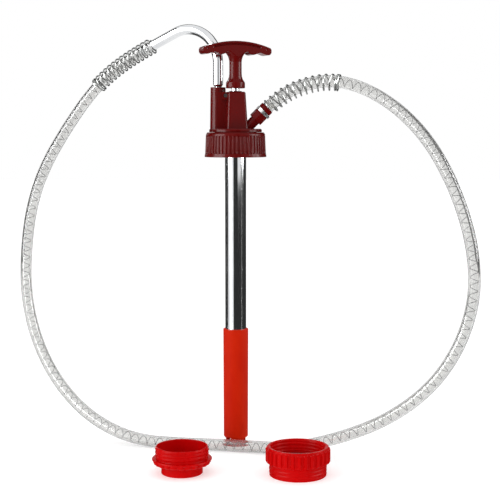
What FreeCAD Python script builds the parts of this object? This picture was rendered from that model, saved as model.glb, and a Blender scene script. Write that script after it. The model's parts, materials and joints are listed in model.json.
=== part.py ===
import FreeCAD, Part
import math
import os

# Hand transfer pump for canisters and drums: a piston pump whose screw collar goes on the
# container's neck, with a delivery hose that runs from the outlet to a bent metal spout.
# Millimetres, +Z up. The origin is the centre of the screw collar's lower rim, on the
# pump's axis. The hose leaves towards +X and the spout is parked on the -X side.

V = FreeCAD.Vector
UP = V(0, 0, 1)
ORIGIN = V(0, 0, 0)

# Driving dimensions
FLOOR_Z = -345.0            # the surface that the foot, the hose and the adapters rest on
RUN_GAP = 0.05              # radial clearance of a running fit
FIT_GAP = 0.1               # radial clearance of pieces that are fixed to each other

TUBE_R = 12.5               # cylinder: 25 mm steel tube
TUBE_BORE_R = 11.2
TUBE_BOTTOM = -318.0
HEAD_Z = 29.0               # underside of the pump head
BLEED_R = 1.0
BLEED_Z = -127.0
BLEED_TURN = 23.6           # degrees from the front towards +X

SLEEVE_TOP = -204.0
SLEEVE_TOP_R = 14.9
SLEEVE_END_R = 14.5
FOOT_R = 16.0
FOOT_PLATE = 2.5
WINDOW_H = 8.5

COLLAR_R = 36.4             # at the lower rim
COLLAR_RIB_R = 35.7
COLLAR_ROOT_R = 34.2
COLLAR_TOP = 28.8
COLLAR_BORE_R = 29.9
COLLAR_WALL = 3.6
COLLAR_HOLE_R = 25.3
COLLAR_RIBS = 48

GLAND_R = 17.0              # skirt round the tube under the plate
GLAND_LOW = 8.0
GLAND_TOP = 21.0
GROOVE_R = 15.0
GROOVE_LOW = 11.0
GROOVE_TOP = 13.4
PLATE_R = 28.0
PLATE_TOP = 25.0
BOSS_R = 24.8

FLANGE_R = 31.0             # head flange above the collar
FLANGE_TOP = 33.0
TOWER_FOOT = 12.8           # half width of the tower at the flange
TOWER_HEAD = 10.3           # half width of the tower at its top
TOWER_TOP = 76.0
TOWER_TURN = 14.0           # degrees, about the pump's axis
CHAMBER_R = 9.0
CHAMBER_TOP = 60.0

SCREW_CIRCLE = 20.6         # screws that hold the base plate up against the flange
SCREW_HEAD_Z = GLAND_TOP
SCREW_TOP = 31.5

HOLDER_X = -20.7            # upright pocket for the spout
HOLDER_Y = 11.0
HOLDER_FOOT_R = 9.6
HOLDER_TOP_R = 8.9
HOLDER_TOP = 81.6
POCKET_DEPTH = 32.0
WEB_FRONT = -1.5            # wall between the holder and the tower
WEB_BACK = 8.0
WEB_RIGHT = -7.0
WEB_TOP = 75.6
PAD_FRONT = -6.0            # raised pad at the wall's top, with a screw in it
PAD_SIZE = 8.6
VENT_X = -11.6
VENT_Z = 71.6

OUTLET_Z = 20.3             # where the 45 degree outlet axis meets the pump's axis
OUTLET_TURN = 45.0
STUB_R = 6.1
NIPPLE_R = 4.95
NIPPLE_BORE_R = 3.8
SOCKET_START = 32.5         # distances along the outlet axis
GROOVE_START = 43.1
BEAD_START = 47.8
SOCKET_END = 53.0
SOCKET_R = 8.5

ROD_R = 4.5
ROD_STEP_R = 3.6
ROD_END_R = 2.5
PISTON_BOTTOM = -286.5
PISTON_H = 12.0
DISC_H = 1.2
DISC_LIFT = 2.9

SEAT_LOW = -322.0           # foot valve
SEAT_TOP = -303.0
SEAT_BORE_R = 4.0
SEAT_CONE_LOW = -312.4
SEAT_CONE_TOP = -308.4
BALL_R = 6.5
BALL_LIFT = 5.0
CAGE_TOP = -292.0

STEM_R = 7.3
HANDLE_BOTTOM = 80.0
BAR_HALF = 42.5
BAR_THICK = 17.0
BAR_TOP = 134.5
HANDLE_TURN = 202.0         # degrees, about the pump's axis

SPOUT_R = 6.0
SPOUT_BORE_R = 4.5
SPOUT_PLUG_R = 4.0          # drawn-down end that stands in the holder
SPOUT_BEND_Z = 110.5
SPOUT_BEND_R = 40.0
SPOUT_BEND = 114.0          # degrees
SPOUT_TURN = 155.0          # direction the spout leans in, degrees from +X
SPOUT_STRAIGHT = 33.7
SPOUT_NECK_R = 4.9
SPOUT_NECK = 20.0

HOSE_R = 7.0
HOSE_BORE_R = 5.05
SPRING_R = 10.2
SPRING_BORE_R = 8.1
SPRING_START = 15.6         # distances along the hose
SPRING_LENGTH = 92.0
COIL_CAP = 2.0
COIL_END = 7.0

# The hose's route: out of the outlet, round the right, over the floor in front of the
# foot, up on the left and back, and down onto the spout's end.
HOSE_ROUTE = [
    (27.0, 0.0, 47.3), (47.0, 0.0, 67.3), (74.0, -4.0, 82.5), (111.0, -11.5, 90.0),
    (151.0, -24.0, 79.5), (190.0, -45.0, 52.5), (222.0, -65.0, 14.0), (247.0, -82.0, -38.0),
    (264.0, -90.0, -95.0), (268.0, -92.0, -152.0), (253.0, -89.0, -209.0),
    (222.0, -84.0, -258.0), (175.0, -74.0, -297.0), (118.0, -60.0, -323.0),
    (62.0, -48.0, -338.0), (0.0, -33.0, -338.0), (-62.0, -24.0, -338.0),
    (-121.0, -8.0, -338.0), (-176.0, 16.0, -318.0), (-220.0, 45.0, -281.0),
    (-250.0, 69.0, -233.0), (-265.0, 83.0, -178.0), (-266.0, 90.0, -122.0),
    (-259.0, 93.0, -66.0), (-242.0, 93.0, -16.0), (-213.0, 91.0, 33.0),
    (-176.0, 82.0, 83.0), (-136.2, 64.9, 115.3), (-99.8, 47.9, 133.2)]
ARC_SHARE = 0.45            # of the shorter run beside each corner

GASKET_H = 2.0                        # of both adapters' gaskets
CAN_X, CAN_Y = -58.0, -121.0          # canister adapter, standing on the floor
CAN_CUP_R = 22.9
CAN_CUP_H = 13.0
CAN_BORE_R = 20.5
CAN_SEAT_R = 20.0
CAN_SEAT_H = 11.1                     # underside of the gasket, above the floor
CAN_THROAT_R = 18.0
CAN_FLANGE_R = 33.1
CAN_FLANGE_TOP = 17.0
CAN_NECK_R = 29.6
CAN_TOP = 30.6
CAN_RIBS = 24

DRUM_X, DRUM_Y = 69.5, -128.4         # drum adapter, standing on the floor
DRUM_THREAD_R = 31.7
DRUM_THREAD_H = 13.7
DRUM_SEAT_R = 29.4
DRUM_SEAT_H = 14.5                    # underside of the gasket, above the floor
DRUM_THROAT_R = 27.5
DRUM_RING_ROOT_R = 33.7
DRUM_RING_R = 35.7
DRUM_TOP = 32.0
DRUM_RIBS = 30


def ring(outer, inner, low, high):
    body = Part.makeCylinder(outer, high - low, V(0, 0, low))
    return body.cut(Part.makeCylinder(inner, high - low, V(0, 0, low)))


def revolved(outline):
    """A solid of revolution about Z from (radius, height) corners."""
    corners = [V(radius, 0, height) for radius, height in outline]
    face = Part.Face(Part.makePolygon(corners + corners[:1]))
    return face.revolve(ORIGIN, UP, 360)


def seal_ring(middle, section, height):
    return Part.makeTorus(middle, section, V(0, 0, height), UP)


def around(shape, count, first=0.0):
    """Copies of a shape at even steps about Z."""
    copies = []
    for index in range(count):
        copy = shape.copy()
        copy.rotate(ORIGIN, UP, first + 360.0 * index / count)
        copies.append(copy)
    return copies


def moved(shape, x, y, z=0.0):
    shape.translate(V(x, y, z))
    return shape


def outlet_placed(shape):
    """Stand a shape made along Z on the outlet's axis."""
    shape.rotate(ORIGIN, V(0, 1, 0), 90.0 - OUTLET_TURN)
    return moved(shape, 0, 0, OUTLET_Z)


def ribbed_ring(root, tip, low, high, count, width):
    """A ring of upright ribs: a toothed prism inside a tapered envelope."""
    half = width / tip / 2.0
    corners = []
    for index in range(count):
        middle = 2.0 * math.pi * index / count
        for radius, turn in ((root, -1.3 * half), (tip, -half), (tip, half), (root, 1.3 * half)):
            angle = middle + turn
            corners.append(V(radius * math.cos(angle), radius * math.sin(angle), low))
    outline = Part.Face(Part.makePolygon(corners + corners[:1]))
    return outline.extrude(V(0, 0, high - low))


def save(node, shape):
    """Write one sub-part, after checking that it is sound."""
    shape = shape.removeSplitter()
    if not shape.isValid() or not shape.Solids:
        raise ValueError("bad shape: " + node)
    shape.exportStep("parts/" + node + ".step")
    box = shape.BoundBox
    print("%-26s %2d solid %9.1f mm3  z %7.1f to %7.1f" % (
        node, len(shape.Solids), shape.Volume, box.ZMin, box.ZMax))


# Suction tube and foot

def cylinder_tube():
    tube = ring(TUBE_R, TUBE_BORE_R, TUBE_BOTTOM, HEAD_Z)
    turn = math.radians(BLEED_TURN)
    out = V(math.sin(turn), -math.cos(turn), 0)
    return tube.cut(Part.makeCylinder(BLEED_R, 2 * TUBE_R, V(0, 0, BLEED_Z), out))


def foot_sleeve():
    """Moulded sleeve that is pushed up the tube, with three legs and a round base plate."""
    bore = TUBE_R + FIT_GAP
    plate_top = FLOOR_Z + FOOT_PLATE
    body = revolved([
        (bore, SLEEVE_TOP - 0.6), (bore + 0.6, SLEEVE_TOP), (SLEEVE_TOP_R - 0.5, SLEEVE_TOP),
        (SLEEVE_TOP_R, SLEEVE_TOP - 0.5), (SLEEVE_END_R, plate_top + 8.5),
        (SLEEVE_END_R - 2.6, plate_top + 5.6), (SLEEVE_END_R - 2.6, plate_top),
        (9.0, plate_top), (9.0, SEAT_LOW - 2.0), (bore, SEAT_LOW)])
    window_top = plate_top + WINDOW_H
    arch = Part.makeCylinder(5.0, 2 * FOOT_R, V(0, 0, window_top - 5.0), V(0, -1, 0))
    mouth = Part.makeBox(10.0, 2 * FOOT_R, window_top - 5.0 - plate_top,
                         V(-5.0, -2 * FOOT_R, plate_top))
    for window in around(arch.fuse(mouth), 3, 78.0):
        body = body.cut(window)
    plate = revolved([
        (4.0, FLOOR_Z), (FOOT_R - 0.5, FLOOR_Z), (FOOT_R, FLOOR_Z + 0.5),
        (FOOT_R, plate_top - 0.5), (FOOT_R - 0.5, plate_top), (4.0, plate_top)])
    return body.fuse(plate)


# Foot valve

def valve_seat():
    """Seat body in the tube's lower end: flange under the tube, 45 degree seat on top."""
    wall = TUBE_BORE_R - RUN_GAP
    return revolved([
        (SEAT_BORE_R, SEAT_LOW), (TUBE_R, SEAT_LOW), (TUBE_R, TUBE_BOTTOM), (wall, TUBE_BOTTOM),
        (wall, -315.0), (wall - 1.2, -315.0), (wall - 1.2, -312.8), (wall, -312.8),
        (wall, SEAT_TOP), (8.0, SEAT_TOP), (8.0, SEAT_CONE_TOP), (SEAT_BORE_R, SEAT_CONE_LOW)])


def valve_oring():
    return seal_ring(10.55, 0.58, -313.9)


def foot_valve_ball():
    drop = BALL_R * math.sqrt(2.0) - SEAT_BORE_R
    middle = SEAT_CONE_LOW + drop + 0.02
    return Part.makeSphere(BALL_R, V(0, 0, middle))


def valve_cage():
    """Crown above the ball: a ring with two crossed bars that stop its lift."""
    wall = TUBE_BORE_R - RUN_GAP
    bar_low = SEAT_CONE_LOW + BALL_R * (1.0 + math.sqrt(2.0)) - SEAT_BORE_R + BALL_LIFT + 0.1
    cage = ring(wall, 9.0, SEAT_TOP, CAGE_TOP)
    bar = Part.makeBox(2 * wall - 1.0, 2.6, CAGE_TOP - bar_low, V(0.5 - wall, -1.3, bar_low))
    return cage.fuse(around(bar, 2, 45.0)[0]).fuse(around(bar, 4, 45.0)[1])


# Piston and plunger

def piston_body():
    """Piston with a groove for the cup seal and six ports through it."""
    wall = TUBE_BORE_R - 0.35
    top = PISTON_BOTTOM + PISTON_H
    body = revolved([
        (ROD_END_R + RUN_GAP, PISTON_BOTTOM), (wall - 0.4, PISTON_BOTTOM),
        (wall, PISTON_BOTTOM + 0.4), (wall, PISTON_BOTTOM + 3.0), (8.6, PISTON_BOTTOM + 3.0),
        (8.6, PISTON_BOTTOM + 9.0), (wall, PISTON_BOTTOM + 9.0), (wall, top - 0.4),
        (wall - 0.4, top), (ROD_STEP_R + RUN_GAP, top),
        (ROD_STEP_R + RUN_GAP, PISTON_BOTTOM + 4.5), (ROD_END_R + RUN_GAP, PISTON_BOTTOM + 4.5)])
    port = Part.makeCylinder(1.4, PISTON_H, V(6.0, 0, PISTON_BOTTOM))
    for hole in around(port, 6):
        body = body.cut(hole)
    return body


def cup_seal():
    low = PISTON_BOTTOM + 3.05
    high = PISTON_BOTTOM + 8.95
    lip = TUBE_BORE_R - RUN_GAP
    return revolved([
        (8.65, low), (lip - 0.5, low), (lip - 0.3, low + 2.5), (lip, high - 0.6),
        (lip - 0.3, high), (lip - 0.9, high - 0.2), (lip - 1.2, low + 2.6), (8.65, low + 2.6)])


def valve_disc():
    low = PISTON_BOTTOM + PISTON_H + RUN_GAP
    return revolved([
        (ROD_STEP_R + 0.15, low), (8.4, low), (8.4, low + DISC_H), (ROD_STEP_R + 0.15, low + DISC_H)])


def plunger_rod():
    """Rod, stepped at its lower end for the valve disc, the piston and the nut."""
    shoulder = PISTON_BOTTOM + PISTON_H + RUN_GAP + DISC_H + DISC_LIFT + 0.05
    step = PISTON_BOTTOM + 4.5 + RUN_GAP
    return revolved([
        (0, -291.4), (ROD_END_R - 0.5, -291.4), (ROD_END_R, -290.9), (ROD_END_R, step),
        (ROD_STEP_R, step), (ROD_STEP_R, shoulder), (ROD_R, shoulder), (ROD_R, 112.5),
        (ROD_R - 1.0, 113.5), (0, 113.5)])


def hexagon(flats, low, high):
    corner = flats / math.sqrt(3.0)
    points = [V(corner * math.cos(math.radians(60 * k)), corner * math.sin(math.radians(60 * k)), low)
              for k in range(7)]
    return Part.Face(Part.makePolygon(points)).extrude(V(0, 0, high - low))


def piston_nut():
    high = PISTON_BOTTOM - RUN_GAP
    nut = hexagon(8.0, high - 4.2, high)
    return nut.cut(Part.makeCylinder(ROD_END_R + 0.02, 6.0, V(0, 0, high - 5.0)))


# T handle

def mirrored_face(outline):
    """A flat face from an outline's right half, as edges, and its mirror image."""
    edges = []
    for edge in outline:
        edges.append(edge.toShape())
        edges.append(edge.toShape().mirror(ORIGIN, V(1, 0, 0)))
    return Part.Face(Part.Wire(Part.__sortEdges__(edges)))


def thick(face, width):
    """A flat face in the XZ plane, made into a solid of that width about the plane."""
    face.translate(V(0, -width / 2.0, 0))
    return face.extrude(V(0, width, 0))


def grip_bar():
    """Bar with an arched top, and two finger hollows under each arm."""
    end = V(BAR_HALF - 1.2, 0, 127.0)
    top = Part.Arc(V(0, 0, BAR_TOP), V(BAR_HALF / 2.0, 0, BAR_TOP - 1.94), end)
    under = Part.BSplineCurve()
    under.interpolate([V(x, 0, z) for x, z in (
        (13.5, 122.0), (22.0, 119.2), (28.3, 121.2), (35.0, 119.3), (BAR_HALF - 1.4, 119.6),
        (BAR_HALF, 122.4), (BAR_HALF - 1.2, 127.0))])
    middle = Part.LineSegment(V(0, 0, 122.0), V(13.5, 0, 122.0))
    return thick(mirrored_face([top, under, middle]), BAR_THICK)


def bar_flare():
    """Round flare from the stem into the bar, flat where it meets the bar's faces."""
    flare = revolved([
        (0, 111.0), (STEM_R + 0.05, 111.0), (STEM_R + 0.5, 114.0), (8.7, 117.0), (10.4, 119.6),
        (12.6, 121.6), (15.0, 122.7), (0, 122.7)])
    width = BAR_THICK - 0.1
    return flare.common(Part.makeBox(40.0, width, 40.0, V(-20.0, -width / 2.0, 90.0)))


def t_handle():
    """Moulded T handle: flared foot, round stem, and a grip bar shaped for two fingers a side."""
    stem = revolved([
        (0, HANDLE_BOTTOM), (10.7, HANDLE_BOTTOM), (11.2, HANDLE_BOTTOM + 0.5),
        (11.2, HANDLE_BOTTOM + 6.5), (10.6, HANDLE_BOTTOM + 7.5), (8.6, HANDLE_BOTTOM + 10.5),
        (STEM_R + 0.3, HANDLE_BOTTOM + 14.0), (STEM_R, HANDLE_BOTTOM + 18.0), (STEM_R, 126.0),
        (0, 126.0)])
    handle = grip_bar().fuse([bar_flare(), stem])
    handle = handle.cut(Part.makeCylinder(ROD_R + 0.02, 34.0, V(0, 0, HANDLE_BOTTOM - 0.3)))
    handle = handle.cut(pin_hole(1.55))
    handle.rotate(ORIGIN, UP, HANDLE_TURN)
    return handle


def pin_hole(radius):
    return Part.makeCylinder(radius, 4 * STEM_R, V(-2 * STEM_R, 0, HANDLE_BOTTOM + 9.0), V(1, 0, 0))


def handle_pin():
    """Cross pin that holds the handle on the rod."""
    reach = 9.0
    pin = Part.makeCylinder(1.5, 2 * reach, V(-reach, 0, HANDLE_BOTTOM + 9.0), V(1, 0, 0))
    pin.rotate(ORIGIN, UP, HANDLE_TURN)
    return pin


def drilled_rod():
    hole = pin_hole(1.55)
    hole.rotate(ORIGIN, UP, HANDLE_TURN)
    return plunger_rod().cut(hole)


# Screw collar and what it clamps

def screw_collar():
    """Loose screw collar: ribbed skirt, plain bore, and a top wall that is trapped."""
    wall_low = COLLAR_TOP - COLLAR_WALL
    shell = revolved([
        (COLLAR_BORE_R, 0), (COLLAR_R, 0), (COLLAR_R, 0.8), (COLLAR_R - 0.5, 4.2),
        (COLLAR_ROOT_R, 4.6), (COLLAR_ROOT_R - 0.4, 24.4), (COLLAR_ROOT_R + 0.6, 24.8),
        (COLLAR_ROOT_R + 0.6, 26.3), (COLLAR_ROOT_R - 0.9, COLLAR_TOP),
        (COLLAR_HOLE_R, COLLAR_TOP), (COLLAR_HOLE_R, wall_low), (COLLAR_BORE_R, wall_low)])
    teeth = ribbed_ring(COLLAR_ROOT_R - 1.0, COLLAR_RIB_R + 0.5, 3.5, 25.0, COLLAR_RIBS, 2.1)
    envelope = revolved([
        (COLLAR_ROOT_R - 2.0, 3.5), (COLLAR_RIB_R, 3.5), (COLLAR_ROOT_R + 0.7, 25.0),
        (COLLAR_ROOT_R - 2.0, 25.0)])
    return shell.fuse(teeth.common(envelope))


def base_plate():
    """Plate under the collar's top wall, with a boss that stands up through the collar."""
    plate = revolved([
        (TUBE_R + 0.02, GLAND_TOP), (PLATE_R, GLAND_TOP), (PLATE_R, PLATE_TOP),
        (BOSS_R, PLATE_TOP), (BOSS_R, HEAD_Z), (TUBE_R + 0.02, HEAD_Z)])
    for hole in around(screw_blank(0.05), 3, 90.0):
        plate = plate.cut(hole)
    return plate


def tube_gland():
    """Skirt bonded under the plate round the tube, with the O-ring's groove inside."""
    bore = TUBE_R + 0.02
    return revolved([
        (bore, GLAND_LOW), (GLAND_R - 0.5, GLAND_LOW), (GLAND_R, GLAND_LOW + 0.5),
        (GLAND_R, GLAND_TOP), (bore, GLAND_TOP), (bore, GROOVE_TOP), (GROOVE_R, GROOVE_TOP),
        (GROOVE_R, GROOVE_LOW), (bore, GROOVE_LOW)])


def screw_blank(gap=0.0):
    """Countersunk screw standing head down at the front of its circle."""
    blank = revolved([
        (0, SCREW_HEAD_Z), (3.0 + gap, SCREW_HEAD_Z), (3.0 + gap, SCREW_HEAD_Z + 0.3),
        (1.5 + gap, SCREW_HEAD_Z + 1.9),
        (1.5 + gap, SCREW_TOP + gap), (0, SCREW_TOP + gap)])
    return moved(blank, SCREW_CIRCLE, 0)


def base_screws():
    screw = screw_blank()
    slot = Part.makeBox(7.0, 0.9, 0.8, V(SCREW_CIRCLE - 3.5, -0.45, SCREW_HEAD_Z))
    screws = around(screw.cut(slot), 3, 90.0)
    return Part.makeCompound(screws)


def flange_gasket():
    return ring(PLATE_R - 0.2, 24.2, GLAND_TOP - 2.1, GLAND_TOP)


def tube_oring():
    return seal_ring(13.8, 1.15, (GROOVE_LOW + GROOVE_TOP) / 2.0)


# Pump head

def square_wire(half, corner, height):
    """Square with round corners, at one height."""
    flat = half - corner
    edges = []
    for turn in range(4):
        line = Part.LineSegment(V(-flat, -half, height), V(flat, -half, height)).toShape()
        diagonal = corner / math.sqrt(2.0)
        arc = Part.Arc(V(flat, -half, height), V(flat + diagonal, -flat - diagonal, height),
                       V(half, -flat, height)).toShape()
        for edge in (line, arc):
            edge.rotate(ORIGIN, UP, 90.0 * turn)
            edges.append(edge)
    return Part.Wire(edges)


def tower():
    low = Part.makeLoft([square_wire(TOWER_FOOT, 3.6, 30.0),
                         square_wire(TOWER_HEAD, 3.0, TOWER_TOP - 1.2)], True, True)
    cap = Part.makeLoft([square_wire(TOWER_HEAD, 3.0, TOWER_TOP - 1.2),
                         square_wire(TOWER_HEAD - 1.2, 2.4, TOWER_TOP)], True, True)
    body = low.fuse(cap)
    body.rotate(ORIGIN, UP, TOWER_TURN)
    return body


def holder():
    post = Part.makeCone(HOLDER_FOOT_R, HOLDER_TOP_R, HOLDER_TOP - HEAD_Z, V(0, 0, HEAD_Z))
    return moved(post, HOLDER_X, HOLDER_Y)


def web():
    """Wall that joins the spout holder to the tower, with a recessed screw pad at its top."""
    wall = Part.makeBox(WEB_RIGHT - HOLDER_X, WEB_BACK - WEB_FRONT, WEB_TOP - HEAD_Z,
                        V(HOLDER_X, WEB_FRONT, HEAD_Z))
    pad = Part.makeBox(PAD_SIZE, WEB_FRONT - PAD_FRONT, PAD_SIZE,
                       V(WEB_RIGHT - PAD_SIZE, PAD_FRONT, WEB_TOP - PAD_SIZE))
    recess = Part.makeCylinder(2.6, 1.7, V(VENT_X, PAD_FRONT, VENT_Z), V(0, 1, 0))
    return wall.fuse(pad).cut(recess)


def outlet_stub():
    start = 12.0 * math.sqrt(2.0)
    stub = outlet_placed(Part.makeCylinder(STUB_R, 36.0 - start, V(0, 0, start)))
    return stub.cut(Part.makeBox(40.0, 40.0, 10.0, V(0, -20.0, HEAD_Z - 10.0)))


def pump_head():
    """Casting: flange, tower round the plunger, spout holder, and the outlet stub."""
    flange = revolved([
        (0, HEAD_Z), (FLANGE_R - 0.6, HEAD_Z), (FLANGE_R, HEAD_Z + 0.6),
        (FLANGE_R, FLANGE_TOP - 1.2), (FLANGE_R - 1.2, FLANGE_TOP), (0, FLANGE_TOP)])
    head = flange.fuse([tower(), holder(), web(), outlet_stub()])
    hollow = revolved([
        (0, HEAD_Z), (CHAMBER_R, HEAD_Z), (CHAMBER_R, CHAMBER_TOP), (ROD_R + 0.3, CHAMBER_TOP),
        (ROD_R + 0.3, 66.0), (7.5, 66.0), (7.5, 70.0), (8.0, 70.0), (8.0, TOWER_TOP + 1.0),
        (0, TOWER_TOP + 1.0)])
    pocket = Part.makeCylinder(SPOUT_PLUG_R + 0.3, POCKET_DEPTH + 1.0,
                               V(HOLDER_X, HOLDER_Y, HOLDER_TOP - POCKET_DEPTH))
    lead_in = Part.makeCylinder(5.2, 3.0, V(HOLDER_X, HOLDER_Y, HOLDER_TOP - 2.0))
    cross_way = Part.makeCylinder(3.5, 11.5, V(6.0, 0, 36.0), V(1, 0, 0))
    outlet = outlet_placed(Part.makeCylinder(4.0, 20.0, V(0, 0, 21.0)))
    nipple_seat = outlet_placed(Part.makeCylinder(NIPPLE_R + 0.05, 8.0, V(0, 0, 30.0)))
    head = head.cut([hollow, pocket, lead_in, cross_way, outlet, nipple_seat])
    pilot = Part.makeCylinder(1.5 + 0.05, SCREW_TOP + 0.1 - HEAD_Z, V(SCREW_CIRCLE, 0, HEAD_Z))
    head = head.cut(around(pilot, 3, 90.0))
    return head.cut(vent_screw_blank(0.05))


def rod_bush():
    return revolved([
        (ROD_R + RUN_GAP, 70.1), (7.9, 70.1), (7.9, TOWER_TOP + 0.1), (7.2, TOWER_TOP + 0.8),
        (ROD_R + 0.6, TOWER_TOP + 0.8), (ROD_R + RUN_GAP, TOWER_TOP + 0.3)])


def rod_seal():
    return revolved([
        (ROD_R + RUN_GAP, 66.1), (7.4, 66.1), (7.4, 69.9), (6.2, 69.9), (5.9, 67.8),
        (5.4, 69.7), (ROD_R + RUN_GAP, 69.9)])


def vent_screw_blank(gap=0.0):
    seat = PAD_FRONT + 0.6
    shank = Part.makeCylinder(1.2 + gap, 5.0 + gap, V(VENT_X, seat + 0.8, VENT_Z), V(0, 1, 0))
    head = Part.makeCylinder(2.2 + gap, 1.2 + 2 * gap, V(VENT_X, seat - gap, VENT_Z), V(0, 1, 0))
    return head.fuse(shank)


def vent_screw():
    slot = Part.makeBox(5.0, 0.6, 0.7, V(VENT_X - 2.5, PAD_FRONT + 0.5, VENT_Z - 0.35))
    return vent_screw_blank().cut(slot)


# Outlet fittings

def hose_socket():
    """Screwed socket round the hose's end: grip facets, a band groove, and a bead."""
    bore = HOSE_R + 0.08
    body = revolved([
        (STUB_R + 0.05, SOCKET_START), (SOCKET_R - 0.5, SOCKET_START),
        (SOCKET_R, SOCKET_START + 0.5), (SOCKET_R, GROOVE_START), (7.75, GROOVE_START),
        (7.75, BEAD_START), (8.3, BEAD_START + 0.3), (8.3, SOCKET_END - 0.7),
        (7.8, SOCKET_END), (bore, SOCKET_END), (bore, 37.6), (STUB_R + 0.05, 37.6)])
    flat = Part.makeBox(4.0, 8.0, GROOVE_START - SOCKET_START - 1.5,
                        V(SOCKET_R - 0.45, -4.0, SOCKET_START - 0.5))
    for facet in around(flat, 8, 22.5):
        body = body.cut(facet)
    return outlet_placed(body)


def outlet_nipple():
    nipple = revolved([
        (NIPPLE_BORE_R, 30.1), (NIPPLE_R, 30.1), (NIPPLE_R, 58.0), (NIPPLE_R - 0.5, 60.0),
        (NIPPLE_BORE_R, 60.0)])
    return outlet_placed(nipple)


def clamp_band():
    """Steel band in the socket's groove, with the thicker stretch where its ends overlap."""
    low = GROOVE_START + 0.3
    high = BEAD_START - 0.5
    band = ring(8.85, 7.8, low, high)
    lug = Part.makeBox(1.6, 8.0, high - low - 0.6, V(8.2, -4.0, low + 0.3))
    lug = lug.cut(Part.makeCylinder(7.8, 40.0, V(0, 0, 20.0)))
    return outlet_placed(band.fuse(around(lug, 1, 45.0)[0]))


# Hose, its guard springs, and the spout

def route_edges():
    """Straight runs joined by tangent arcs, and the arcs' radii."""
    points = [V(*point) for point in HOSE_ROUTE]
    edges = []
    radii = []
    start = points[0]
    for before, corner, after in zip(points, points[1:], points[2:]):
        back = before - corner
        ahead = after - corner
        reach = ARC_SHARE * min(back.Length, ahead.Length)
        half_turn = (math.pi - back.getAngle(ahead)) / 2.0
        radius = reach / math.tan(half_turn)
        radii.append(radius)
        enter = corner + back.normalize() * reach
        leave = corner + ahead.normalize() * reach
        bisector = (back + ahead).normalize()
        middle = corner + bisector * (radius / math.cos(half_turn) - radius)
        edges.append(Part.LineSegment(start, enter).toShape())
        edges.append(Part.Arc(enter, middle, leave).toShape())
        start = leave
    edges.append(Part.LineSegment(start, points[-1]).toShape())
    return edges, radii


def trimmed(edges, low, high):
    """The stretch of a route between two distances along it."""
    kept = []
    passed = 0.0
    for edge in edges:
        first = max(low - passed, 0.0)
        last = min(high - passed, edge.Length)
        if last - first > 1e-6:
            span = edge.LastParameter - edge.FirstParameter
            scale = span / edge.Length
            kept.append(edge.Curve.toShape(edge.FirstParameter + first * scale,
                                           edge.FirstParameter + last * scale))
        passed += edge.Length
    return kept


def swept(edges, radius):
    """A round bar along a route."""
    path = Part.Wire(edges)
    first = edges[0]
    start = first.valueAt(first.FirstParameter)
    heading = first.tangentAt(first.FirstParameter)
    section = Part.Wire([Part.makeCircle(radius, start, heading)])
    return path.makePipeShell([section], True, False)


def swept_tube(edges, outer, inner):
    return swept(edges, outer).cut(swept(edges, inner))


def delivery_hose(edges):
    hose = swept_tube(edges, HOSE_R, HOSE_BORE_R)
    length = sum(edge.Length for edge in edges)
    expected = math.pi * (HOSE_R ** 2 - HOSE_BORE_R ** 2) * length
    print("hose length %.1f mm, volume over section times length %.5f" % (
        length, hose.Volume / expected))
    return hose


def outlet_guard_spring(edges):
    """Outer shape of the coil spring over the hose at the outlet."""
    stretch = trimmed(edges, SPRING_START, SPRING_START + SPRING_LENGTH)
    return swept_tube(stretch, SPRING_R, SPRING_BORE_R)


def spout_guard_spring(edges):
    """Outer shape of the coil spring at the spout, with its small close turns."""
    length = sum(edge.Length for edge in edges)
    sleeve = swept_tube(trimmed(edges, length - SPRING_LENGTH, length), SPRING_R, SPRING_BORE_R)
    last = V(*HOSE_ROUTE[-1])
    heading = (last - V(*HOSE_ROUTE[-2])).normalize()
    cap = Part.makeCylinder(SPRING_R, COIL_CAP, last, heading)
    turns = Part.makeCylinder(SPOUT_R + 1.8, COIL_END, last, heading)
    bore = Part.makeCylinder(SPOUT_R + 0.1, COIL_END, last, heading)
    return sleeve.fuse(cap.fuse(turns).cut(bore))


def spout_frame():
    """The spout's corner points, its lean, and its last heading."""
    turn = math.radians(SPOUT_TURN)
    lean = V(math.cos(turn), math.sin(turn), 0)
    bend = math.radians(SPOUT_BEND)
    start = V(HOLDER_X, HOLDER_Y, SPOUT_BEND_Z)
    middle = start + lean * SPOUT_BEND_R * (1 - math.cos(bend / 2)) + UP * SPOUT_BEND_R * math.sin(bend / 2)
    end = start + lean * SPOUT_BEND_R * (1 - math.cos(bend)) + UP * SPOUT_BEND_R * math.sin(bend)
    heading = lean * math.sin(bend) + UP * math.cos(bend)
    return start, middle, end, heading


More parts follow.
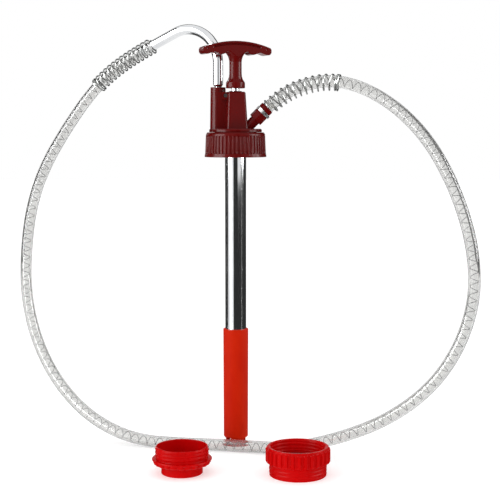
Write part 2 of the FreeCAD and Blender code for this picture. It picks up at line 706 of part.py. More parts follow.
def spout_tube():
    """Bent metal spout: drawn-down plug end, cone, bend, and a neck inside the hose."""
    plug_low = HOLDER_TOP - POCKET_DEPTH + 3.0
    cone_low = HOLDER_TOP + 0.4
    cone_high = cone_low + 2.8
    start, middle, end, heading = spout_frame()
    mouth = end + heading * SPOUT_STRAIGHT
    path = [Part.LineSegment(V(HOLDER_X, HOLDER_Y, cone_high), start).toShape(),
            Part.Arc(start, middle, end).toShape(),
            Part.LineSegment(end, mouth).toShape()]
    base = V(HOLDER_X, HOLDER_Y, 0)
    outer = swept(path, SPOUT_R)
    outer = outer.fuse(Part.makeCone(SPOUT_PLUG_R, SPOUT_R, cone_high - cone_low, base + UP * cone_low))
    outer = outer.fuse(Part.makeCylinder(SPOUT_PLUG_R, cone_low - plug_low, base + UP * plug_low))
    outer = outer.fuse(Part.makeCylinder(SPOUT_NECK_R, SPOUT_NECK, mouth, heading))
    inner = swept(path, SPOUT_BORE_R)
    inner = inner.fuse(Part.makeCone(SPOUT_PLUG_R - 1.0, SPOUT_BORE_R, cone_high - cone_low,
                                     base + UP * cone_low))
    inner = inner.fuse(Part.makeCylinder(SPOUT_PLUG_R - 1.0, cone_low - plug_low, base + UP * plug_low))
    inner = inner.fuse(Part.makeCylinder(SPOUT_NECK_R - 1.0, SPOUT_NECK, mouth, heading))
    return outer.cut(inner)


def spout_grommet():
    """Ring in the holder's mouth that keeps the spout from rattling."""
    grommet = ring(5.1, SPOUT_PLUG_R + 0.1, HOLDER_TOP - 1.9, HOLDER_TOP)
    return moved(grommet, HOLDER_X, HOLDER_Y)


# Loose adapters

def canister_adapter():
    """Adapter with a male thread on top for the collar and a small female cup below."""
    base = FLOOR_Z
    body = revolved([
        (CAN_BORE_R, base), (CAN_CUP_R - 0.6, base), (CAN_CUP_R, base + 0.6),
        (CAN_CUP_R, base + CAN_CUP_H), (CAN_FLANGE_R - 1.8, base + CAN_CUP_H),
        (CAN_FLANGE_R - 1.8, base + CAN_FLANGE_TOP), (CAN_NECK_R, base + CAN_FLANGE_TOP),
        (CAN_NECK_R, base + CAN_TOP - 0.5), (CAN_NECK_R - 0.5, base + CAN_TOP),
        (CAN_NECK_R - 2.3, base + CAN_TOP), (CAN_NECK_R - 2.6, base + CAN_FLANGE_TOP - 1.4),
        (CAN_THROAT_R, base + CAN_FLANGE_TOP - 1.4), (CAN_THROAT_R, base + CAN_SEAT_H + GASKET_H),
        (CAN_SEAT_R, base + CAN_SEAT_H + GASKET_H), (CAN_SEAT_R, base + CAN_SEAT_H),
        (CAN_BORE_R, base + CAN_SEAT_H)])
    teeth = ribbed_ring(CAN_FLANGE_R - 2.2, CAN_FLANGE_R, base + CAN_CUP_H - 0.6,
                        base + CAN_FLANGE_TOP, CAN_RIBS, 4.4)
    teeth = teeth.cut(Part.makeCylinder(CAN_FLANGE_R - 3.4, 20.0, V(0, 0, base + 5.0)))
    return moved(body.fuse(teeth), CAN_X, CAN_Y)


def canister_gasket():
    low = FLOOR_Z + CAN_SEAT_H
    gasket = ring(CAN_SEAT_R - FIT_GAP, CAN_THROAT_R + 0.2, low, low + GASKET_H - 0.02)
    return moved(gasket, CAN_X, CAN_Y)


def drum_adapter():
    """Adapter with a ribbed female ring on top and a wide male thread below."""
    base = FLOOR_Z
    ring_low = base + DRUM_THREAD_H
    top = base + DRUM_TOP
    body = revolved([
        (DRUM_THROAT_R, base), (DRUM_THREAD_R - 0.6, base), (DRUM_THREAD_R, base + 0.6),
        (DRUM_THREAD_R, ring_low), (DRUM_RING_ROOT_R - 1.0, ring_low),
        (DRUM_RING_ROOT_R, ring_low + 1.0), (DRUM_RING_ROOT_R, top - 0.5),
        (DRUM_RING_ROOT_R - 0.5, top), (COLLAR_BORE_R, top),
        (COLLAR_BORE_R, base + DRUM_SEAT_H + GASKET_H),
        (DRUM_SEAT_R, base + DRUM_SEAT_H + GASKET_H), (DRUM_SEAT_R, base + DRUM_SEAT_H),
        (DRUM_THROAT_R, base + DRUM_SEAT_H)])
    teeth = ribbed_ring(DRUM_RING_ROOT_R - 1.0, DRUM_RING_R + 0.5, ring_low, top, DRUM_RIBS, 2.4)
    envelope = revolved([
        (DRUM_RING_ROOT_R - 1.5, ring_low + 0.6), (DRUM_RING_R - 0.9, ring_low + 0.6),
        (DRUM_RING_R, ring_low + 1.8), (DRUM_RING_R - 1.1, top), (DRUM_RING_ROOT_R - 1.5, top)])
    return moved(body.fuse(teeth.common(envelope)), DRUM_X, DRUM_Y)


def drum_gasket():
    low = FLOOR_Z + DRUM_SEAT_H
    gasket = ring(DRUM_SEAT_R - FIT_GAP, DRUM_THROAT_R + 0.2, low + 0.02, low + GASKET_H)
    return moved(gasket, DRUM_X, DRUM_Y)


def main():
    os.makedirs("parts", exist_ok=True)
    edges, radii = route_edges()
    print("hose bend radii: " + ", ".join("%.0f" % radius for radius in radii))
    save("cylinder_tube", cylinder_tube())
    save("foot_sleeve", foot_sleeve())
    save("valve_seat", valve_seat())
    save("valve_oring", valve_oring())
    save("valve_cage", valve_cage())
    save("foot_valve_ball", foot_valve_ball())
    save("piston_body", piston_body())
    save("cup_seal", cup_seal())
    save("valve_disc", valve_disc())
    save("plunger_rod", drilled_rod())
    save("piston_nut", piston_nut())
    save("t_handle", t_handle())
    save("handle_pin", handle_pin())
    save("screw_collar", screw_collar())
    save("base_plate", base_plate())
    save("tube_gland", tube_gland())
    save("base_screws", base_screws())
    save("flange_gasket", flange_gasket())
    save("tube_oring", tube_oring())
    save("pump_head", pump_head())
    save("rod_bush", rod_bush())
    save("rod_seal", rod_seal())
    save("vent_screw", vent_screw())
    save("hose_socket", hose_socket())
    save("outlet_nipple", outlet_nipple())
    save("clamp_band", clamp_band())
    save("delivery_hose", delivery_hose(edges))
    save("outlet_guard_spring", outlet_guard_spring(edges))
    save("spout_guard_spring", spout_guard_spring(edges))
    save("spout_tube", spout_tube())
    save("spout_grommet", spout_grommet())
    save("canister_adapter", canister_adapter())
    save("canister_gasket", canister_gasket())
    save("drum_adapter", drum_adapter())
    save("drum_gasket", drum_gasket())


main()
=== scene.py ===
import json
import math
import bpy
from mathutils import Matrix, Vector


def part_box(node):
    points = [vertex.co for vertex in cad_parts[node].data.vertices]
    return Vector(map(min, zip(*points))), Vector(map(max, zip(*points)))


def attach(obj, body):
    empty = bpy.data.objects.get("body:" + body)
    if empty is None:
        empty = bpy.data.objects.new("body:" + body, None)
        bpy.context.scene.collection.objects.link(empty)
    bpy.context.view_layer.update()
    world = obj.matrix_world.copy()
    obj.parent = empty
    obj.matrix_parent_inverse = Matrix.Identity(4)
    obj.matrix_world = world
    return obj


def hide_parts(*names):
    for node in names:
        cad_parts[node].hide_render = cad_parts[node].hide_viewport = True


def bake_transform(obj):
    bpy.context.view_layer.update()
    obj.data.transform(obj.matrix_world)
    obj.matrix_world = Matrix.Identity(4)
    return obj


# The looks of a hand transfer pump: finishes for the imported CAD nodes, detailed pieces in
# place of seven of them, the wire in the hose, and a plain studio.

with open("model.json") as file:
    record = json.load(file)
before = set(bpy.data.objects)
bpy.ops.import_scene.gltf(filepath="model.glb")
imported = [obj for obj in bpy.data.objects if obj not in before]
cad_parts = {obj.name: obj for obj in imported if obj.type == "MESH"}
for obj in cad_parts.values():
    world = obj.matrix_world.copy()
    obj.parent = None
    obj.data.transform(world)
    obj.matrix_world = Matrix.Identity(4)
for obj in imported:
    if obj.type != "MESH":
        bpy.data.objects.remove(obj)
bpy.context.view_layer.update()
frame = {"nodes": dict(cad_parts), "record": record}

NODES = frame["nodes"]
FLOOR_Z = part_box("foot_sleeve")[0][2]

# Lengths are in metres; the camera's lens and sensor are in millimetres.

# The hose's route, the same points as in the part's source
HOSE_ROUTE = [
    (0.0270, 0.0, 0.0473), (0.0470, 0.0, 0.0673), (0.0740, -0.0040, 0.0825),
    (0.1110, -0.0115, 0.0900), (0.1510, -0.0240, 0.0795), (0.1900, -0.0450, 0.0525),
    (0.2220, -0.0650, 0.0140), (0.2470, -0.0820, -0.0380), (0.2640, -0.0900, -0.0950),
    (0.2680, -0.0920, -0.1520), (0.2530, -0.0890, -0.2090), (0.2220, -0.0840, -0.2580),
    (0.1750, -0.0740, -0.2970), (0.1180, -0.0600, -0.3230), (0.0620, -0.0480, -0.3380),
    (0.0, -0.0330, -0.3380), (-0.0620, -0.0240, -0.3380), (-0.1210, -0.0080, -0.3380),
    (-0.1760, 0.0160, -0.3180), (-0.2200, 0.0450, -0.2810), (-0.2500, 0.0690, -0.2330),
    (-0.2650, 0.0830, -0.1780), (-0.2660, 0.0900, -0.1220), (-0.2590, 0.0930, -0.0660),
    (-0.2420, 0.0930, -0.0160), (-0.2130, 0.0910, 0.0330), (-0.1760, 0.0820, 0.0830),
    (-0.1362, 0.0649, 0.1153), (-0.0998, 0.0479, 0.1332)]
HOSE_R = 0.0070
HOSE_BORE_R = 0.00505

# The wire in the hose's bore, and the guard springs over its two ends
HOSE_WIRE_R = 0.00036
HOSE_WIRE_COIL_R = 0.0044   # to the middle of the wire, as in SPRING_COIL_R
HOSE_WIRE_PITCH = 0.0106
HOSE_WIRE_SETBACK = 0.021   # how far it stops short of the hose's ends
SPRING_WIRE_R = 0.0009
SPRING_COIL_R = 0.0092
SPRING_CLOSE_PITCH = 2.1 * SPRING_WIRE_R
OUTLET_SPRING_PITCH = 0.0073
OUTLET_SPRING_DROP = 0.0011     # how much lower than the hose's middle it hangs
SPOUT_SPRING_PITCH = 0.0065

# The T handle's grip bar
HANDLE_TURN = math.radians(22.0)
BAR_THICK = 0.017
BAR_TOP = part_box("t_handle")[1][2]
BAR_ARCH_R = 0.1175         # radius of the arched top
CARVED_ABOVE_Z = 0.117      # the groove and dimples stay inside this height and length
CARVED_HALF_LENGTH = 0.040
GROOVE_DEPTH = 0.0020
GROOVE_BELOW_TOP = 0.0035
DIMPLE_DEPTH = 0.0009
DIMPLE_ALONG = 0.0368       # from the bar's middle
DIMPLE_Z = 0.1252
HANDLE_VOXEL = 0.00048      # of the remesh that rounds the handle's edges

# Threads, ribs and lumps
THREAD_PITCH = 0.004
THREAD_STEP = 0.0003        # spacing of the outline's points in a thread
CANISTER_THREAD_DEPTH = 0.0010
CANISTER_LUMPS = 24
LUMP_DEPTH = 0.0016
DRUM_SPIGOT_THREAD_DEPTH = 0.0005
DRUM_INNER_THREAD_DEPTH = 0.0009
DRUM_RIBS = 30
DRUM_RIB_DEPTH = 0.0018
COLLAR_THREAD_DEPTH = 0.0009
COLLAR_RIBS = 48
COLLAR_RIBS_LOW = 0.0046    # height where the collar's ribs start
COLLAR_RIBS_HIGH = 0.0244
COLLAR_RIB_DEPTH = 0.0015
COLLAR_RIB_TAPER = 0.0004   # how much less they stand out at the top
TURNED_CREASE = 50.0        # degrees; where a turned piece bends more, it shades sharp

# Studio
CARD_SPLIT = 0.15           # height where the dark cards change from low to high ones
CARD_REACH = 2.3            # radius of the ring of cards
CARD_STEPS = 12
LAMP_REACH = 1.9            # radius of the ring of lamps
FLOOR_HALF = 8


def add_object(name, data):
    """Put data in the scene as a new object."""
    added = bpy.data.objects.new(name, data)
    bpy.context.scene.collection.objects.link(added)
    return added


# Camera

def make_camera():
    """A camera in front, a little above, as the photograph was taken."""
    data = bpy.data.cameras.new("camera")
    data.lens = 85.4
    data.sensor_width = 36.0
    camera = add_object("camera", data)
    camera.location = (0.017, -1.400, 0.028)
    camera.rotation_euler = (math.radians(84.37), 0.0, 0.0)
    bpy.context.scene.camera = camera


# Paths and sweeps

def route_points():
    """Points along the route's smooth spline."""
    curve = bpy.data.curves.new("hose_route", "CURVE")
    curve.dimensions = "3D"
    curve.resolution_u = 14
    spline = curve.splines.new("NURBS")
    spline.points.add(len(HOSE_ROUTE) - 1)
    for point, place in zip(spline.points, HOSE_ROUTE):
        point.co = (*place, 1.0)
    spline.order_u = 3
    spline.use_endpoint_u = True
    holder = add_object("hose_route", curve)
    bpy.context.view_layer.update()
    mesh = bpy.data.meshes.new_from_object(holder)
    points = [vertex.co.copy() for vertex in mesh.vertices]
    bpy.data.meshes.remove(mesh)
    bpy.data.objects.remove(holder)
    bpy.data.curves.remove(curve)
    return points


def headings(points):
    """Unit direction at each point of a path."""
    last = len(points) - 1
    return [(points[min(i + 1, last)] - points[max(i - 1, 0)]).normalized()
            for i in range(last + 1)]


def side_vectors(points):
    """At each point, two vectors across the path that don't twist along it."""
    ways = headings(points)
    side = ways[0].cross(Vector((0.0, 0.0, 1.0)))
    if side.length < 0.1:
        side = ways[0].cross(Vector((0.0, 1.0, 0.0)))
    side.normalize()
    pairs = []
    for way in ways:
        side = (side - way * side.dot(way)).normalized()
        pairs.append((side, way.cross(side)))
    return pairs


class Path:
    """Places along a line of points, by distance."""

    def __init__(self, points):
        self.points = points
        self.pairs = side_vectors(points)
        self.marks = [0.0]
        for before, after in zip(points, points[1:]):
            self.marks.append(self.marks[-1] + (after - before).length)
        self.length = self.marks[-1]

    def at(self, distance):
        """Position and the two vectors across the path, at a distance along it."""
        low, high = 0, len(self.marks) - 1
        while high - low > 1:
            middle = (low + high) // 2
            if self.marks[middle] <= distance:
                low = middle
            else:
                high = middle
        share = (distance - self.marks[low]) / (self.marks[high] - self.marks[low])
        place = self.points[low].lerp(self.points[high], share)
        side = self.pairs[low][0].lerp(self.pairs[high][0], share).normalized()
        over = self.pairs[low][1].lerp(self.pairs[high][1], share).normalized()
        return place, side, over


def ring(place, across, radius, sides):
    """Points of a circle round a place, in the plane of the two vectors across the path."""
    side, over = across
    turns = [2.0 * math.pi * k / sides for k in range(sides)]
    return [place + radius * (math.cos(turn) * side + math.sin(turn) * over) for turn in turns]


def tube_shell(points, outer, inner, sides):
    """Vertices and faces of a tube with a bore, closed at its ends."""
    verts = []
    for across, place in zip(side_vectors(points), points):
        verts += ring(place, across, outer, sides) + ring(place, across, inner, sides)
    faces = []
    row = 2 * sides
    for i in range(len(points) - 1):
        a, b = i * row, (i + 1) * row
        for k in range(sides):
            n = (k + 1) % sides
            faces.append((a + k, a + n, b + n, b + k))
            faces.append((a + sides + n, a + sides + k, b + sides + k, b + sides + n))
    for start, flip in ((0, False), ((len(points) - 1) * row, True)):
        for k in range(sides):
            n = (k + 1) % sides
            face = (start + n, start + k, start + sides + k, start + sides + n)
            faces.append(face[::-1] if flip else face)
    return verts, faces


def wire_shell(points, radius, sides):
    """Vertices and faces of a round wire with closed ends."""
    verts = []
    for across, place in zip(side_vectors(points), points):
        verts += ring(place, across, radius, sides)
    faces = []
    for i in range(len(points) - 1):
        a, b = i * sides, (i + 1) * sides
        for k in range(sides):
            n = (k + 1) % sides
            faces.append((a + k, a + n, b + n, b + k))
    faces.append(tuple(range(sides))[::-1])
    end = (len(points) - 1) * sides
    faces.append(tuple(range(end, end + sides)))
    return verts, faces


def lathe(outline, steps, swell):
    """Turn a closed outline of (radius, height, kind) about Z.

    swell(kind, angle, height) is added to each point's radius.
    """
    verts = []
    for i in range(steps):
        angle = 2.0 * math.pi * i / steps
        for radius, height, kind in outline:
            reach = radius + swell(kind, angle, height)
            verts.append((reach * math.cos(angle), reach * math.sin(angle), height))
    faces = []
    count = len(outline)
    for i in range(steps):
        a, b = i * count, (i + 1) % steps * count
        for k in range(count):
            n = (k + 1) % count
            faces.append((a + k, b + k, b + n, a + n))
    return verts, faces


def add_piece(name, shell, material, crease=35.0):
    """A mesh object with smooth shading that breaks at sharp edges."""
    verts, faces = shell
    data = bpy.data.meshes.new(name)
    data.from_pydata([tuple(v) for v in verts], [], faces)
    data.polygons.foreach_set("use_smooth", [True] * len(data.polygons))
    data.set_sharp_from_angle(angle=math.radians(crease))
    data.materials.append(material)
    data.update()
    piece = add_object(name, data)
    return piece


# Materials

def new_material(name, colour, roughness, metallic=0.0):
    """A material, its node tree and its shader."""
    material = bpy.data.materials.new(name)
    material.use_nodes = True
    shader = material.node_tree.nodes["Principled BSDF"]
    shader.inputs["Base Color"].default_value = (*colour, 1.0)
    shader.inputs["Roughness"].default_value = roughness
    shader.inputs["Metallic"].default_value = metallic
    return material, material.node_tree, shader


def noise_node(tree, scale, detail, stretch=(1.0, 1.0, 1.0)):
    """Noise whose scale counts its lumps in a metre, times stretch along each axis."""
    place = tree.nodes.new("ShaderNodeTexCoord")
    mapping = tree.nodes.new("ShaderNodeMapping")
    mapping.inputs["Scale"].default_value = stretch
    texture = tree.nodes.new("ShaderNodeTexNoise")
    texture.inputs["Scale"].default_value = scale
    texture.inputs["Detail"].default_value = detail
    tree.links.new(place.outputs["Object"], mapping.inputs["Vector"])
    tree.links.new(mapping.outputs["Vector"], texture.inputs["Vector"])
    return texture


def widen(tree, source, first, last, low, high, target):
    """Carry a noise into a socket, its values from first to last as low to high."""
    widener = tree.nodes.new("ShaderNodeMapRange")
    widener.inputs["From Min"].default_value = first
    widener.inputs["From Max"].default_value = last
    widener.inputs["To Min"].default_value = low
    widener.inputs["To Max"].default_value = high
    tree.links.new(source, widener.inputs["Value"])
    tree.links.new(widener.outputs["Result"], target)


def roughen(tree, source, low, high, shader):
    """Roughness that wanders from low to high."""
    widen(tree, source, 0.3, 0.7, low, high, shader.inputs["Roughness"])


def tint(tree, source, first, second, shader):
    """Base colour that wanders between two colours."""
    mix = tree.nodes.new("ShaderNodeMix")
    mix.data_type = "RGBA"
    mix.inputs["A"].default_value = (*first, 1.0)
    mix.inputs["B"].default_value = (*second, 1.0)
    widen(tree, source, 0.35, 0.65, 0.0, 1.0, mix.inputs["Factor"])
    tree.links.new(mix.outputs["Result"], shader.inputs["Base Color"])


def relief(tree, source, strength, depth, shader):
    """Bumps on the surface, depth high."""
    bump = tree.nodes.new("ShaderNodeBump")
    bump.inputs["Strength"].default_value = strength
    bump.inputs["Distance"].default_value = depth
    tree.links.new(source, bump.inputs["Height"])
    tree.links.new(bump.outputs["Normal"], shader.inputs["Normal"])


def moulded(name, light, dark, rough_low, rough_high, grain, gloss):
    """Moulded plastic: cloudy colour, uneven gloss and a fine skin."""
    material, tree, shader = new_material(name, light, rough_low)
    clouds = noise_node(tree, 55.0, 4.0, (1.0, 1.0, 0.45))
    tint(tree, clouds.outputs["Fac"], light, dark, shader)
    smears = noise_node(tree, 170.0, 5.0, (1.0, 1.0, 0.6))
    roughen(tree, smears.outputs["Fac"], rough_low, rough_high, shader)
    skin = noise_node(tree, grain, 6.0)
    relief(tree, skin.outputs["Fac"], 0.10, 0.0001, shader)
    shader.inputs["Specular IOR Level"].default_value = gloss
    return material


def turned_metal(name, colour, shade, rough_low, rough_high, stretch):
    """Metal with fine lines along or round it, and soft stains in its polish."""
    material, tree, shader = new_material(name, colour, rough_low, 1.0)
    stains = noise_node(tree, 45.0, 4.0)
    tint(tree, stains.outputs["Fac"], colour, shade, shader)
    lines = noise_node(tree, 300.0, 5.0, stretch)
    roughen(tree, lines.outputs["Fac"], rough_low, rough_high, shader)
    relief(tree, lines.outputs["Fac"], 0.08, 0.00004, shader)
    return material


def rubber(name):
    """Matt black rubber with a paler bloom."""
    material, tree, shader = new_material(name, (0.018, 0.018, 0.019), 0.6)
    bloom = noise_node(tree, 120.0, 5.0)
    tint(tree, bloom.outputs["Fac"], (0.014, 0.014, 0.015), (0.035, 0.034, 0.033), shader)
    roughen(tree, bloom.outputs["Fac"], 0.5, 0.75, shader)
    skin = noise_node(tree, 1800.0, 3.0)
    relief(tree, skin.outputs["Fac"], 0.2, 0.00008, shader)
    return material


def clear_vinyl(name):
    """Soft clear vinyl with a little haze on it, whose wall takes up light."""
    material, tree, shader = new_material(name, (0.90, 0.92, 0.90), 0.02)
    shader.inputs["Transmission Weight"].default_value = 0.94
    shader.inputs["IOR"].default_value = 1.45
    haze = noise_node(tree, 40.0, 3.0)
    roughen(tree, haze.outputs["Fac"], 0.0, 0.03, shader)
    tint(tree, haze.outputs["Fac"], (0.94, 0.94, 0.93), (0.90, 0.90, 0.89), shader)
    wall = noise_node(tree, 60.0, 1.0)
    relief(tree, wall.outputs["Fac"], 0.02, 0.0001, shader)
    murk = tree.nodes.new("ShaderNodeVolumeAbsorption")
    murk.inputs["Color"].default_value = (0.0, 0.0, 0.0, 1.0)
    murk.inputs["Density"].default_value = 62.0
    tree.links.new(murk.outputs["Volume"], tree.nodes["Material Output"].inputs["Volume"])
    return material


def make_materials():
    """Every finish, by name. All but red_sleeve and hose_wire are slots in the record."""
    return {
        "maroon_plastic": moulded("maroon_plastic", (0.104, 0.0016, 0.0013),
                                  (0.090, 0.0013, 0.0010), 0.15, 0.25, 1500.0, 0.10),
        "red_plastic": moulded("red_plastic", (0.55, 0.0010, 0.0014),
                               (0.47, 0.0008, 0.0010), 0.22, 0.34, 1200.0, 0.04),
        "red_sleeve": moulded("red_sleeve", (0.53, 0.0160, 0.0014),
                              (0.48, 0.0110, 0.0009), 0.44, 0.54, 1900.0, 0.03),
        "white_plastic": moulded("white_plastic", (0.84, 0.84, 0.80),
                                 (0.78, 0.78, 0.73), 0.38, 0.50, 1600.0, 0.5),
        "chromed_steel": turned_metal("chromed_steel", (0.80, 0.81, 0.82),
                                      (0.72, 0.73, 0.75), 0.05, 0.11, (1.0, 1.0, 0.05)),
        "polished_rod": turned_metal("polished_rod", (0.56, 0.57, 0.58),
                                     (0.47, 0.48, 0.49), 0.08, 0.16, (0.1, 0.1, 3.0)),
        "zinc_steel": turned_metal("zinc_steel", (0.74, 0.75, 0.75),
                                   (0.62, 0.64, 0.64), 0.22, 0.38, (1.0, 1.0, 1.0)),
        "dark_steel": turned_metal("dark_steel", (0.13, 0.11, 0.11),
                                   (0.08, 0.06, 0.06), 0.40, 0.60, (1.0, 1.0, 1.0)),
        "ball_steel": turned_metal("ball_steel", (0.70, 0.71, 0.72),
                                   (0.64, 0.65, 0.66), 0.04, 0.10, (1.0, 1.0, 1.0)),
        "spring_wire": turned_metal("spring_wire", (0.44, 0.45, 0.44),
                                    (0.33, 0.34, 0.33), 0.20, 0.36, (0.4, 0.4, 0.4)),
        "hose_wire": turned_metal("hose_wire", (0.16, 0.16, 0.17),
                                  (0.09, 0.09, 0.10), 0.30, 0.50, (0.4, 0.4, 0.4)),
        "black_rubber": rubber("black_rubber"),
        "clear_vinyl": clear_vinyl("clear_vinyl"),
    }


def paint_frame(materials):
    """Give each CAD node the finish that its record slot names, and the foot sleeve its own red."""
    for part in frame["record"]["subparts"]:
        finish = "red_sleeve" if part["node"] == "foot_sleeve" else part["material_slot"]
        slots = NODES[part["node"]].data.materials
        slots.clear()
        slots.append(materials[finish])


# Hose, its wire, and its springs

def bend_with_spout(piece):
    """Bake the piece's transform into its mesh."""
    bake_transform(piece)


def make_hose(path, materials):
    """The clear hose, with its bore."""
    hose = add_piece("hose", tube_shell(path.points, HOSE_R, HOSE_BORE_R, 24),
                     materials["clear_vinyl"])
    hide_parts("delivery_hose")
    bend_with_spout(hose)
    return hose


def coil_points(path, first, last, radius, pitch, turn=0.0, drop=0.0, per_turn=20):
    """A left-handed coil round the path, hanging lower by drop, and the angle it ends at."""
    count = int((last - first) / pitch * per_turn)
    points = []
    for i in range(count + 1):
        place, side, over = path.at(first + (last - first) * i / count)
        angle = turn - 2.0 * math.pi * i / per_turn
        down = Vector((0.0, 0.0, -drop))
        points.append(place + down + radius * (math.cos(angle) * side + math.sin(angle) * over))
    return points, turn - 2.0 * math.pi * count / per_turn


def make_hose_wire(path, materials):
    """The wire wound in the hose's bore, against its wall."""
    points, _ = coil_points(path, HOSE_WIRE_SETBACK, path.length - HOSE_WIRE_SETBACK,
                            HOSE_WIRE_COIL_R, HOSE_WIRE_PITCH, per_turn=18)
    wire = add_piece("hose_wire", wire_shell(points, HOSE_WIRE_R, 6),
                     materials["hose_wire"])
    bend_with_spout(wire)
    return wire


def coil_spring(name, path, stretches, node, body, materials, drop=0.0):
    """A guard spring from stretches that follow each other.

    A stretch is (start, end, pitch), the first two as distances along the hose.
    """
    points = []
    turn = 0.0
    for first, last, pitch in stretches:
        more, turn = coil_points(path, first, last, SPRING_COIL_R, pitch, turn, drop)
        points += more[1:] if points else more
    spring = add_piece(name, wire_shell(points, SPRING_WIRE_R, 10),
                       materials["spring_wire"])
    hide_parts(node)
    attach(spring, body)
    return spring


def make_springs(path, materials):
    """Both guard springs: open turns, with close ones at the end towards the loop."""
    end = path.length
    outlet = coil_spring(
        "outlet_spring", path,
        [(0.0165, 0.1040, OUTLET_SPRING_PITCH), (0.1040, 0.1068, SPRING_CLOSE_PITCH)],
        "outlet_guard_spring", "pump", materials, drop=OUTLET_SPRING_DROP)
    spout = coil_spring(
        "spout_spring", path,
        [(end - 0.0910, end - 0.0880, SPRING_CLOSE_PITCH),
         (end - 0.0880, end - 0.0010, SPOUT_SPRING_PITCH)],
        "spout_guard_spring", "spout", materials)
    return outlet, spout


# Handle

def smoothstep(low, high, value):
    """0 at low, 1 at high, with a soft start and end."""
    share = min(max((value - low) / (high - low), 0.0), 1.0)
    return share * share * (3.0 - 2.0 * share)


def arch_height(along):
    """Height of the grip bar's arched top."""
    return BAR_TOP - BAR_ARCH_R + math.sqrt(BAR_ARCH_R ** 2 - along ** 2)


def carve_bar(place):
    """How deep the bar's two faces are cut at a place, and which face it is on.

    Each face has a long groove and a dimple near each end.
    """
    along = place.x * math.cos(HANDLE_TURN) + place.y * math.sin(HANDLE_TURN)
    across = place.y * math.cos(HANDLE_TURN) - place.x * math.sin(HANDLE_TURN)
    if place.z < CARVED_ABOVE_Z or abs(along) > CARVED_HALF_LENGTH:
        return 0.0, 0.0
    below = arch_height(along) - place.z
    groove = 1.0 - smoothstep(0.0006, 0.0014, abs(below - GROOVE_BELOW_TOP))
    groove *= 1.0 - smoothstep(0.0285, 0.0305, abs(along))
    from_dimple = math.hypot(abs(along) - DIMPLE_ALONG, place.z - DIMPLE_Z)
    dimple = 1.0 - smoothstep(0.0005, 0.0011, from_dimple)
    skin = smoothstep(BAR_THICK / 2 - 0.0022, BAR_THICK / 2 - 0.0010, abs(across))
    depth = (GROOVE_DEPTH * groove + DIMPLE_DEPTH * dimple) * skin
    return depth, math.copysign(1.0, across)


def make_handle(materials):
    """The T handle with moulded, rounded edges and the carving in its grip bar."""
    rough = add_object("handle_rough", NODES["t_handle"].data.copy())
    remesh = rough.modifiers.new("remesh", "REMESH")
    remesh.mode = "VOXEL"
    remesh.voxel_size = HANDLE_VOXEL
    soften = rough.modifiers.new("soften", "SMOOTH")
    soften.factor = 0.5
    soften.iterations = 7
    graph = bpy.context.evaluated_depsgraph_get()
    data = bpy.data.meshes.new_from_object(rough.evaluated_get(graph), depsgraph=graph)
    bpy.data.objects.remove(rough)
    data.name = "grip_handle"
    outward = Vector((-math.sin(HANDLE_TURN), math.cos(HANDLE_TURN), 0.0))
    for vertex in data.vertices:
        depth, face = carve_bar(vertex.co)
        if depth > 0.0:
            vertex.co -= outward * (face * depth)
    data.polygons.foreach_set("use_smooth", [True] * len(data.polygons))
    data.materials.clear()
    data.materials.append(materials["maroon_plastic"])
    data.update()
    handle = add_object("grip_handle", data)
    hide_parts("t_handle")
    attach(handle, "plunger")


# Collar and adapters

def thread_ridge(height, angle, first, last):
    """0 to 1 height of a right-handed thread between two heights."""
    phase = (height / THREAD_PITCH - angle / (2.0 * math.pi)) % 1.0
    ridge = 1.0 - smoothstep(0.12, 0.34, abs(phase - 0.5))
    ends = smoothstep(first, first + 0.001, height) * (1.0 - smoothstep(last - 0.001, last, height))
    return ridge * ends


def steps_between(low, high, step, radius, kind):
    """Outline points up or down a straight wall."""
    count = max(int(abs(high - low) / step), 1)
    return [(radius, low + (high - low) * i / count, kind) for i in range(count + 1)]


def rib_phase(angle, count):
    """0 to 1 from one rib's foot to the next, with the tip at a half."""
    return (angle * count / (2.0 * math.pi)) % 1.0


def stand_on_floor(piece, node):
    """Shift a turned mesh, base on the floor, to the middle of the node that it stands for."""
    low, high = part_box(node)
    middle = Vector(((low[0] + high[0]) / 2, (low[1] + high[1]) / 2, FLOOR_Z))
    for vertex in piece.data.vertices:
        vertex.co += middle


